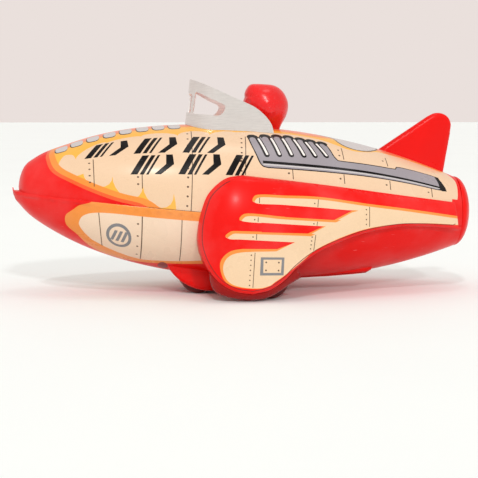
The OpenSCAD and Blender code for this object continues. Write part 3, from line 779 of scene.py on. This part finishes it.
sheet("upper_shell_skin", hull_outline(UPPER, True), hull_surface(UPPER), upper_prints(), rim="red",
      extra=nose_rows(UPPER, True), node="upper_shell")
sheet("lower_shell_skin", hull_outline(LOWER, False), hull_surface(LOWER, 0.35), lower_prints(),
      [belly_hole()], base="red", rim="red", extra=nose_rows(LOWER, False), node="lower_shell")


def folded_rim():
    """The lower shell's rim is folded in under the upper shell, and closes the tip of the nose."""
    xs = np.concatenate([np.linspace(-88.75, -86, 8), np.linspace(-85, -40, 30)])
    rows = []
    for x in xs:
        half = math.sqrt(max(0.01, float(hull_r(x, LOWER_REACH)) ** 2 - seam_drop(x) ** 2)) - 0.12
        z = float(axis_z(x)) - seam_drop(x) - 0.05
        fold = min(2.4, half * 0.6)
        across = [half - fold, half - fold * 0.5, half]
        across = [-y for y in across[::-1]] + across
        rows.append([(x, y, z + 0.2 * (half - abs(y)) / max(0.1, half)) for y in across])
    # the middle column is open behind the nose
    loft("lower_shell_rim", rows, "red", keep=lambda i, j: j != 2 or xs[i + 1] < -83, thick=0.3, offset=0.0)


def tail_cap():
    """The pressed tail cap: a dome with a rolled edge, seated in the end of both shells."""
    base, depth, edge = 0.25, 5.2, TAIL_R - 0.02
    profile = [(-3.5, TAIL_R - 0.6), (-0.15, TAIL_R - 0.6), (0.02, TAIL_R - 0.45), (0.12, TAIL_R - 0.15),
               (base, edge)]
    profile += [(base + depth * math.sin(t), edge * math.cos(t))
                for t in np.linspace(0, math.pi / 2, 17)[1:-1]]
    slope = -AXIS_TILT + 2 * AXIS_LIFT * TAIL_X / HALF_LENGTH ** 2
    turns = [2 * math.pi * j / 96 for j in range(96)]
    rows = [[(TAIL_X + s - 0.6 * slope * r * math.sin(a), -r * math.cos(a),
              axis_z(TAIL_X) + slope * s + r * math.sin(a)) for a in turns] for s, r in profile]
    loft("tail_cap_dome", rows, closed=True, thick=TIN, node="tail_cap",
         tip=(TAIL_X + base + depth, 0, axis_z(TAIL_X) + slope * (base + depth)))


folded_rim()
tail_cap()


# ---------- fenders ----------

POD_X = -3.0    # middle of the wheel pod
POD_OUT = 38    # how far out the face stands there, mm
POD_R = 19.4
FENDER_END = 80.0


def fender_reach(x):
    """How far out the fender's face stands, mm."""
    x = np.asarray(x, float)
    front = POD_OUT - 7 * (np.clip((POD_X - x) / POD_R, 0, None)) ** 2.5
    rear = POD_OUT - 22 * (np.clip((x - POD_X) / (FENDER_END - POD_X + 3), 0, None)) ** 1.45
    return np.where(x < POD_X, front, rear)


def fender_outline():
    """Side view of the fender, drawn clockwise from the front of the pod."""
    front = smooth([(-3.2, 3.1), (-9.5, 4.2), (-15.5, 7.8), (-19.6, 13.6), (-21.9, 20.6), (-21.8, 27.4),
        (-20.5, 33.4), (-18.4, 38.6), (-14.6, 42.6), (-10.8, 44.8), (-5.5, 45.6)], 1.2)
    top = smooth([(-5.5, 45.6), (14, 43.3), (34, 40.6), (56, 37.4), (78.3, 34.2)], 2.5)[1:]
    end = dense([(78.3, 34.2), (79.4, 24.3)], 2, False)[1:]
    low = smooth([(79.4, 24.3), (63.6, 25.5), (54, 25.7), (41.3, 24.2), (32, 21.7), (20.2, 17), (13.6, 12.4),
        (8.4, 7.6), (3.2, 4.5), (-3.2, 3.1)], 1.4)[1:-1]
    return front + top + end + low


FENDER = fender_outline()


def fender_surface(side):
    """Bulging face of the fender with a rounded shoulder and a hem along its lower edge."""
    edge = np.array(FENDER, float)
    round_over = 1.9
    hem_at, hem_width, hem_height = 1.1, 0.6, 0.3

    def surface(x, z):
        points = np.stack([x, z], 1)
        d = np.where(inside(points, FENDER), distance_to(points, edge), 0)
        centre = 22.1 + x * 0.049
        above = np.clip(z - centre, 0, None)
        y = np.sqrt(np.clip(fender_reach(x) ** 2 - above ** 2, 1, None))
        upper = np.clip((z - centre + 6) / 10, 0, 1)
        fade = np.clip((FENDER_END - x) / 12, 0.15, 1)
        t = np.clip(1 - d / round_over, 0, 1)
        y = y - (0.8 + 1.3 * upper) * fade * (1 - np.sqrt(np.clip(1 - t ** 2, 0, 1)))
        hem = hem_height * np.exp(-((d - hem_at) / hem_width) ** 2) * np.clip(1 - upper, 0, 1)
        hull = np.sqrt(np.clip(hull_r(x, UPPER_REACH) ** 2 - (z - axis_z(x)) ** 2, 0, None))
        return np.stack([x, side * np.maximum(y + hem, hull + 0.3), z], 1)
    return surface


def fender_prints():
    out = [("red", [(-40, 0), (BEHIND, 0), (BEHIND, 60), (-40, 60)])]
    # the cream field that sweeps from the pod back to the tail, with its orange border
    tail_top = smooth([(34.9, 32.5), (41.9, 33.6), (56, 31.8), (79.9, 28.2)], 2)
    border = smooth([(5.5, 19.9), (-7.8, 19.6), (-11.2, 18.8), (-13.6, 16.9), (-14.8, 14.5), (-14.6, 11.4),
        (-13.3, 8.2), (-11.2, 6.6), (-7.8, 5.7), (-3, 5.2), (0.4, 5.3), (3.3, 6.2)], 1.2)
    under = smooth([(3.3, 6.2), (8.9, 9.9), (14.7, 14.2), (20.5, 18.6), (32, 23.3), (41.3, 25.7), (54, 26.9),
        (66, 26.7), (79.9, 25.5)], 1.8)[1:]
    out.append(("orange", border + under + [(79.9, 28.2)] + tail_top[::-1] + [(34.9, 32.5)]))
    cream_front = smooth([(5.5, 18.6), (-7.4, 18.4), (-10.8, 17.5), (-12.8, 15.8), (-13.7, 13.6),
        (-13.7, 11.4), (-12.6, 8.7), (-10.8, 7), (-7.8, 6), (-3, 5.4), (0.4, 5.5), (3.3, 6.3)], 1.2)
    cream_tail = smooth([(34.9, 31.9), (41.9, 33), (56, 31.2), (79.9, 27.9)], 2)
    out.append(("sand", cream_front + [(x, z + 0.15) for x, z in under] + cream_tail[::-1]))
    # stripes with an orange upper edge, which end in the field
    stripes = [
        ([(-2.9, 37.3), (-1.9, 38.6), (10, 38.4), (22.3, 37.7), (41.9, 34.7), (56, 32.7), (79.9, 28.9)],
         [(79.9, 27.2), (50, 30), (36, 32.6), (34.7, 32.6), (20.8, 34), (8, 35.2), (-1.6, 35.9),
          (-2.9, 36.6)]),
        ([(-7.9, 30.7), (-6.4, 32.1), (9, 30.9), (27.6, 29.4), (30.4, 29.2)],
         [(24.5, 27.1), (22.8, 27.2), (8.9, 28.3), (-6.4, 29.5), (-7.9, 30)]),
        ([(-12.9, 24.6), (-11, 26), (-7.8, 26.1), (17.4, 24.7), (20.2, 24.4)],
         [(14, 21.6), (12.1, 21.7), (-7.8, 23.1), (-11.4, 23.2), (-12.9, 23.9)]),
    ]
    for top, bottom in stripes:
        upper, lower = smooth(top, 1.5), smooth(bottom, 1.5)
        out.append(("orange", upper + lower))
        out.append(("sand", [(x + (0.7 if i < 5 else 0), z - 0.95)
                             for i, (x, z) in enumerate(upper)] + lower))
    # red darts between the stripes, which point back into the field
    for dart in ([(20.8, 34), (34.9, 32.5), (27.6, 29.3), (9, 30.8), (9, 34.9)],
                 [(8.9, 28.3), (23.4, 27.1), (17.4, 24.7), (0, 25.6), (0, 29)],
                 [(0, 22.6), (12.4, 21.6), (5.8, 19.4), (-4, 19.65), (-8, 19.7), (-8, 23.1)]):
        out.append(("red", dense(dart, 2)))
    for top, bottom, count in (((41.9, 33.6), (41.6, 26.4), 4), ((21.9, 36.8), (21.5, 34), 1),
                               ((21.1, 28.9), (20.9, 27.4), 1), ((20.4, 24.1), (19.6, 18.4), 4),
                               ((-0.3, 37.8), (-0.4, 35.9), 0), ((-1.1, 30.9), (-1.2, 29.3), 1),
                               ((-1.8, 25), (-1.9, 22.9), 1), ((-2.4, 18.3), (-3.2, 5.6), 7)):
        out.append(("line", ribbon([top, bottom], 0.26)))
        for i in range(count):
            x, z = between(top, bottom, (i + 0.5) / count)
            out.append(("line", oval(x - 1.3, z, 0.27, 0.27, 8)))
    # a riveted hatch in its frame
    out.append(("grey", dense([(-0.6, 10), (8.2, 9.8), (8.5, 16.3), (-0.3, 16.6)], 2)))
    out.append(("sand", dense([(0.6, 10.9), (7.2, 10.75), (7.5, 15.5), (0.7, 15.7)], 2)))
    for x, z in ((1.6, 11.8), (6.3, 11.6), (1.7, 14.7), (6.4, 14.5)):
        out.append(("line", oval(x, z, 0.34, 0.34, 8)))
    # painted shade: a fine dark line in the crease where the hem starts
    low = [q for q in inset_line(FENDER, 1.25) if q[0] < -10 or q[1] < 28]
    start = max(range(len(low)), key=lambda i: math.dist(low[i], low[i - 1]))
    out.append(("painted_shade_red", ribbon(low[start:] + low[:start], 0.28)))
    return out


def fender(side, label):
    """Face, walls and turned-in lip of one fender."""
    surface = fender_surface(side)
    sheet(f"fender_{label}_skin", FENDER, surface, fender_prints(), base="red", rim="red", thick=FOLDED_TIN,
          extra=insets(FENDER, (0.25, 0.6, 1, 1.3, 1.7, 2.2, 2.8)), outward=-side,
          node=f"fender_{label}")
    # walls from the face to the body, open underneath for the wheel
    x, z = np.array(FENDER, float).T
    top_y = surface(x, z)[:, 1] * side
    hull = np.sqrt(np.clip(hull_r(x, LOWER_REACH) ** 2 - (z - axis_z(x)) ** 2, 0, None))
    reach_in = np.where(hull > 12, hull - 1.2, 18.4)
    reach_in = np.where((z < 15.5) & (x > -15) & (x < 18.5), 31, reach_in)
    reach_in = np.minimum(reach_in, top_y - 0.6)
    rows = [np.stack([x, side * (top_y + (reach_in - top_y) * share), z], 1)
            for share in (0, 0.1, 0.25, 0.5, 1)]
    loft(f"fender_{label}_wall", rows, closed=True)
    # lip under the pod, from the wall's lower edge down and in, in red enamel darkened as painted shade
    steps = 40
    edge = smooth([(-18.2, 11), (-15.5, 7.8), (-9.5, 4.2), (-3.2, 3.1), (3.2, 4.5), (8.4, 7.6), (13.6, 12.4)],
        0.4)
    hang = smooth([(-18, 8.4), (-16.2, 3.9), (-12, 1.9), (-5.7, 0.9), (1.6, 1.1), (7.5, 3.6), (11.2, 6.1),
        (15.4, 8.4)], 0.4)
    rows = []
    for i in range(steps + 1):
        near, far = (np.array(line[round(i / steps * (len(line) - 1))]) for line in (edge, hang))
        y = float(surface(near[:1], near[1:])[0, 1]) * side
        row = []
        for share, inward in ((0, 0.32), (0.25, 0.96), (0.6, 1.76), (0.85, 2.56), (1, 3.36)):
            spot = near + (far - near) * share
            row.append((spot[0], side * (y - inward), spot[1]))
        rows.append(row)
    loft(f"fender_{label}_lip", rows, "lip_painted_shade", offset=0.0)


fender(-1, "left")
fender(1, "right")


# ---------- tail fin ----------

def fin_half(side, label):
    outline = smooth([(52.6, 50.2), (51, 51.6), (50.6, 53), (52, 54.2)], 0.8)
    outline += dense([(52.6, 54.6), (71.4, 66.9)], 2.5, False)[1:]
    outline += smooth([(71.4, 66.9), (74.3, 68.2), (77.2, 68.1), (79.6, 66.7), (80.8, 64.2), (80.6, 61)],
        0.9)[1:]
    outline += dense([(80.5, 60), (77.3, 41.6), (76.2, 41), (56, 46.5)], 2.5, False)

    round_over = 2.6

    def surface(x, z):
        points = np.stack([x, z], 1)
        d = np.where(inside(points, outline), distance_to(points, outline), 0)
        y = 0.35 + 1.75 * np.sqrt(np.clip(1 - np.clip(1 - d / round_over, 0, 1) ** 2, 0, 1))
        y = y + 0.35 * np.clip((d - 2.5) / 8, 0, 1)
        return np.stack([x, side * y, z], 1)

    sheet(f"tail_fin_{label}_skin", outline, surface, base="enamel", rim="enamel",
          extra=insets(outline, (0.15, 0.4, 0.8, 1.3, 1.9, 2.6)), outward=-side,
          inner=lambda p, n: np.stack([p[:, 0], side * np.maximum(0.02, np.abs(p[:, 1]) - TIN), p[:, 2]], 1),
          node=f"tail_fin_{label}")


fin_half(-1, "left")
fin_half(1, "right")


# ---------- windscreen ----------

SCREEN_HALF = 10.5
SCREEN_FRONT = -25.2
SCREEN_Z = 50
RAKE = math.radians(6.3)
QUARTER = SCREEN_HALF * math.pi / 2


def screen_flat(x, z):
    """Side-view point to (distance round the bend from the front, height) on the flat blank."""
    dx, dz = x - SCREEN_FRONT, z - SCREEN_Z
    px = dx * math.cos(RAKE) - dz * math.sin(RAKE)
    h = dx * math.sin(RAKE) + dz * math.cos(RAKE)
    if px >= SCREEN_HALF:
        return (QUARTER + px - SCREEN_HALF, h)
    return (SCREEN_HALF * math.acos(max(-1, min(1, 1 - px / SCREEN_HALF))), h)


def screen_side(px, h):
    """The point of the side view that is px back along the foot and h up the blank."""
    return (SCREEN_FRONT + px * math.cos(RAKE) + h * math.sin(RAKE),
            SCREEN_Z - px * math.sin(RAKE) + h * math.cos(RAKE))


def screen_surface(u, h):
    a = np.clip(np.abs(u) / SCREEN_HALF, 0, math.pi / 2)
    px = SCREEN_HALF * (1 - np.cos(a)) + np.clip(np.abs(u) - QUARTER, 0, None)
    py = np.sign(u) * SCREEN_HALF * np.sin(a)
    flare = 1 + 0.02 * np.clip((h - 20) / 12, 0, 1) * np.clip(np.abs(u) / QUARTER, 0, 1)
    x, z = screen_side(px, h)
    return np.stack([x, py * flare, z], 1)


def screen_foot(px, py):
    """Height on the blank where the wall meets the body, for a point of the plan."""
    h = 10.0
    for _ in range(12):
        x, z = screen_side(px, h)
        want = float(axis_z(x)) + math.sqrt(float(hull_r(x, UPPER_REACH)) ** 2 - py * py) + 0.05
        h += (want - z) * math.cos(RAKE)
    return h


def windscreen():
    top = [(-21.6, 80.9), (-16, 78.5), (-9, 75.3), (-1.7, 72.1)]
    top = dense(top, 1.5, False) + smooth([(-1.7, 72.1), (1.2, 70.7), (3.8, 68.9), (5.9, 66.9), (7.4, 65),
        (8.4, 63), (8.9, 60.5)], 1)[1:]
    rim_half = [screen_flat(x, z) for x, z in top]
    front_h = rim_half[0][1] + 0.25
    rim_front = [(0, front_h), (rim_half[0][0] * 0.5, rim_half[0][1] + 0.15)]
    foot = []
    for u in np.linspace(rim_half[-1][0], 0, 26):
        a = min(u / SCREEN_HALF, math.pi / 2)
        px = SCREEN_HALF * (1 - math.cos(a)) + max(0, u - QUARTER)
        foot.append((float(u), screen_foot(px, SCREEN_HALF * math.sin(a))))
    half = rim_front + rim_half + foot
    outline = half[1:] + [(-u, h) for u, h in half[1:-1][::-1]] + [rim_front[0]]
    window = smooth([(-13.2, 67.2), (-11.6, 67.4), (-10.4, 68.4), (-9.6, 69.8), (-9.6, 70.8), (-10.6, 71.6)],
        0.6)
    window += dense([(-12.5, 72.4), (-19.2, 75.8)], 2, False) + [(-20, 76), (-20.4, 75.5)]
    window += dense([(-20.5, 74.6), (-21.4, 68.8), (-21.2, 68.1), (-20.4, 67.9), (-14.2, 67.4)], 2, False)
    window = [screen_flat(x, z) for x, z in window]
    low, high = screen_flat(-21.4, 68.3)[1], screen_flat(-20.5, 75.3)[1]
    pane = [(4.4, low), (4.8, low + 0.5), (4.8, high - 0.5), (4.4, high)]
    pane = dense(pane + [(-u, h) for u, h in pane[::-1]], 1.5)
    holes = [window, [(-u, h) for u, h in window], pane]
    sheet("windscreen_sheet", outline, screen_surface, [], holes, base="brushed", back="inner", rim="bright",
          thick=0.55, step=1.6, outward=-1, node="windscreen")


windscreen()


# ---------- driver ----------

def driver():
    """A moulded helmeted head: one closed form with brim, goggles, ear pads and a plain face."""
    centre = np.array([7.45, 0, 70.9])
    head_r, neck_half, neck_length = 8.55, 3.3, 11.3
    neck_way = np.array([0.29, 0, -0.957])
    corner_way = np.array([-0.66, 0, 0.751])  # to the helmet's front upper corner
    corner_height, corner_width = 2.3, 0.42
    work = bmesh.new()
    bmesh.ops.create_icosphere(work, subdivisions=6, radius=1)
    for v in work.verts:
        n = np.array(v.co, float)
        n /= np.linalg.norm(n)
        along = float(n @ neck_way)
        across = math.sqrt(max(0, 1 - along * along))
        neck = 1 / math.sqrt((across / neck_half) ** 2 + (along / neck_length) ** 2) if along > 0 else 0
        r = (head_r ** 4 + neck ** 4) ** (1 / 4)
        off_corner = math.acos(max(-1, min(1, float(n @ corner_way))))
        r += corner_height * math.exp(-(off_corner / corner_width) ** 2)
        for flat, distance in (((-1, 0, 0), 8.8), ((0, 0, 1), 8.65), ((-0.908, 0, 0.418), 9.3)):
            facing = float(n @ np.array(flat))
            if facing > 0.05:
                r = (r ** -16 + (distance / facing) ** -16) ** (-1 / 16)
        # the face looks along -X; az and el are the directions round and up from it
        az = math.atan2(n[1], -n[0])
        el = math.asin(max(-1, min(1, n[2])))
        front = max(0, math.cos(az))
        brim = math.exp(-(max(0, el - 0.6) / 0.3) ** 2)
        r += 0.4 * front ** 1.5 / (1 + math.exp((0.46 - el) / 0.03)) * brim
        for side in (-1, 1):
            goggle = math.hypot((el - 0.16) / 0.2, (az - side * 0.5) / 0.27)
            r += 0.34 * math.exp(-((goggle - 0.85) / 0.35) ** 2)
            ear = math.hypot(el + 0.06, (az - side * 1.62) * 0.95)
            r += 0.45 / (1 + math.exp((ear - 0.27) / 0.05)) - 0.2 * math.exp(-((ear - 0.1) / 0.07) ** 2)
        nose = math.exp(-((az / 0.15) ** 2)) * math.exp(-(((el + 0.16) / 0.17) ** 2))
        mouth = math.exp(-((az / 0.3) ** 2)) * math.exp(-(((el + 0.46) / 0.05) ** 2))
        r += 0.9 * nose - 0.3 * mouth
        v.co = Vector(centre + n * r) * MM
    ring_count = 32
    rows = []
    for z, r in ((66, 1.9), (64, 2.15), (56.2, 2.15), (55.9, 1.8)):
        rows.append([work.verts.new(((8.5 + r * math.cos(2 * math.pi * j / ring_count)) * MM,
                                     r * math.sin(2 * math.pi * j / ring_count) * MM, z * MM))
                     for j in range(ring_count)])
    for a, b in zip(rows, rows[1:]):
        for j in range(ring_count):
            k = (j + 1) % ring_count
            work.faces.new((a[j], a[k], b[k], b[j]))
    work.faces.new(rows[-1])
    work.faces.new(rows[0][::-1])
    bmesh.ops.recalc_face_normals(work, faces=work.faces)
    mesh = bpy.data.meshes.new("driver_head_form")
    work.to_mesh(mesh)
    work.free()
    for polygon in mesh.polygons:
        polygon.use_smooth = True
    mesh.materials.append(INKS["plastic"])
    attach("driver_head_form", mesh, "driver_head")


driver()


# ---------- belly pan ----------

def tray(name, stations, cuts, slots, node=None):
    """A trough lofted through stations of (x, half width, floor, top); its floor is open between the cuts."""
    rows = []
    for x, half, floor, top in stations:
        c = min(1.6, max(0.2, top - floor - 0.1))  # radius of the corner
        side = [(half, top), (half, (top + floor + c) / 2)]
        side += arc(half - c, floor + c, c, -c, 0, math.pi / 2, 7)
        side += [(y, floor) for y in cuts]
        rows.append([(x, y, z) for y, z in side + [(-y, z) for y, z in side[::-1]]])
    centre = len(rows[0]) // 2 - 1
    cut_columns = (centre - 1, centre + 1) if cuts[1] > 0.1 else (centre - 1, centre, centre + 1)
    middles = [(a[0] + b[0]) / 2 for a, b in zip(stations, stations[1:])]
    loft(name, rows, keep=lambda i, j: j not in cut_columns or not any(a < middles[i] < b for a, b in slots),
         downward=True, node=node)


def belly_pan():
    """The keel over the front wheels with its shallow tail, and the wider shoulders over the flywheels."""
    well_x, well_z, well_r = -15.2, 19.9, 18.7
    keel = []
    for a in np.radians(np.linspace(64, 0, 17)):
        keel.append((well_x - well_r * math.sin(a), 12, well_z - well_r * math.cos(a), 15))
    slot = (FRONT_AXLE_X - 7.2, FRONT_AXLE_X + 6.8)
    keel.append((slot[0], 12, well_z - math.sqrt(well_r ** 2 - (slot[0] - well_x) ** 2), 15))
    for x, half, floor in ((slot[1], 12, 1.2), (2, 12, 1.2), (7.6, 12, 1.2), (9.5, 11.9, 1.6),
                           (11.5, 11.4, 2.9), (13.2, 10.7, 4.3), (15, 10.2, 5.1), (19, 10, 5.6),
                           (30, 10, 6.2), (40, 10, 6.8), (45.5, 10, 7.2), (47.2, 9.9, 7.9),
                           (48.2, 9.6, 9.4), (48.5, 9.2, 11)):
        keel.append((x, half, floor, 14))
    tray("belly_pan_keel", sorted(keel), (8.7, 4.1), [slot], "base_pan")
    shoulders = [(-14.85, 17.3, 17.5), (-14.8, 17.4, 9.5), (-14.6, 17.8, 8), (-13.6, 18, 6), (-11.8, 18, 4.8),
        (-9.5, 18, 4.6), (0, 18, 4.6), (9, 18, 4.6), (11.4, 18, 4.8), (12.8, 17.9, 5.9), (13.4, 17.6, 8),
        (13.5, 17.4, 17.5)]
    tray("belly_pan_shoulders", [row + (18,) for row in shoulders], (11.95, 0.01), [(-20, 20)])


belly_pan()


# ---------- finishes of the CAD nodes that stay ----------

KEPT = {
    "zinc": ("driver_retainer", "motor_plate_left", "motor_plate_right"),
    "steel": ("motor_pillars", "motor_rivets", "flywheel_shaft", "idler_shaft", "drive_axle", "front_axle"),
    "iron": ("flywheel_left", "flywheel_right"),
    "brass": ("flywheel_pinion", "idler_gear", "idler_pinion", "drive_gear", "drive_bush_left",
              "drive_bush_right"),
    "plastic": ("drive_hub_left", "drive_hub_right", "front_wheel_left", "front_wheel_right"),
    "red_rubber": ("drive_tyre_left", "drive_tyre_right", "front_tyre_left", "front_tyre_right"),
}
for finish, node_names in KEPT.items():
    for node_name in node_names:
        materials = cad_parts[node_name].data.materials
        materials.clear()
        materials.append(INKS[finish])


# ---------- stage ----------

def floor_plane():
    colour = rgb(240, 249, 248)
    f = Finish("floor_finish", colour, 0.7)
    f.stain(6, 3, 0.35, 0.7, 0.5, darker(colour, 0.97))
    f.bump(f.noise(700, 2), 0.02, 0.3)
    mesh = bpy.data.meshes.new("floor")
    mesh.from_pydata([(-6, -3, 0), (6, -3, 0), (6, 12, 0), (-6, 12, 0)], [], [(0, 1, 2, 3)])
    mesh.materials.append(f.done())
    piece = bpy.data.objects.new("floor", mesh)
    scene.collection.objects.link(piece)


def lamp(name, kind, way, power, place=(0, 0, 0)):
    light = bpy.data.lights.new(name, kind)
    light.energy = power
    piece = bpy.data.objects.new(name, light)
    piece.location = place
    piece.rotation_euler = Vector(way).to_track_quat("-Z", "Y").to_euler()
    scene.collection.objects.link(piece)
    return piece


floor_plane()
SUN_SPREAD = math.radians(4)
low_sun = lamp("key_low", "SUN", (-0.08, 1, -0.5), 0.95)
low_sun.data.angle = SUN_SPREAD
low_sun.visible_glossy = False
lamp("key_high", "SUN", (0.25, 0.95, -0.98), 0.65).data.angle = SUN_SPREAD
softbox = lamp("softbox_top", "AREA", (-0.10, 0.09, -1.05), 0.75, (0.10, -0.09, 1.1)).data
softbox.shape = "RECTANGLE"
softbox.size, softbox.size_y = 0.28, 0.16

world = bpy.data.worlds.new("studio")
world.use_nodes = True
world.node_tree.nodes["Background"].inputs["Color"].default_value = rgb(234, 224, 220)
world.node_tree.nodes["Background"].inputs["Strength"].default_value = 1.0
scene.world = world
scene.view_settings.view_transform = "Standard"

# ---------- camera ----------

camera = bpy.data.objects.new("camera", bpy.data.cameras.new("camera"))
camera.location = (-0.07445, -0.5091, 0.06744)
turn, dip = math.radians(8), math.radians(5.3)
forward = Vector((math.sin(turn) * math.cos(dip), math.cos(turn) * math.cos(dip), -math.sin(dip)))
camera.rotation_euler = forward.to_track_quat("-Z", "Y").to_euler()
camera.data.lens = 100.6
camera.data.sensor_width = 36
camera.data.clip_start = 0.01
camera.data.clip_end = 20
scene.collection.objects.link(camera)
scene.camera = camera
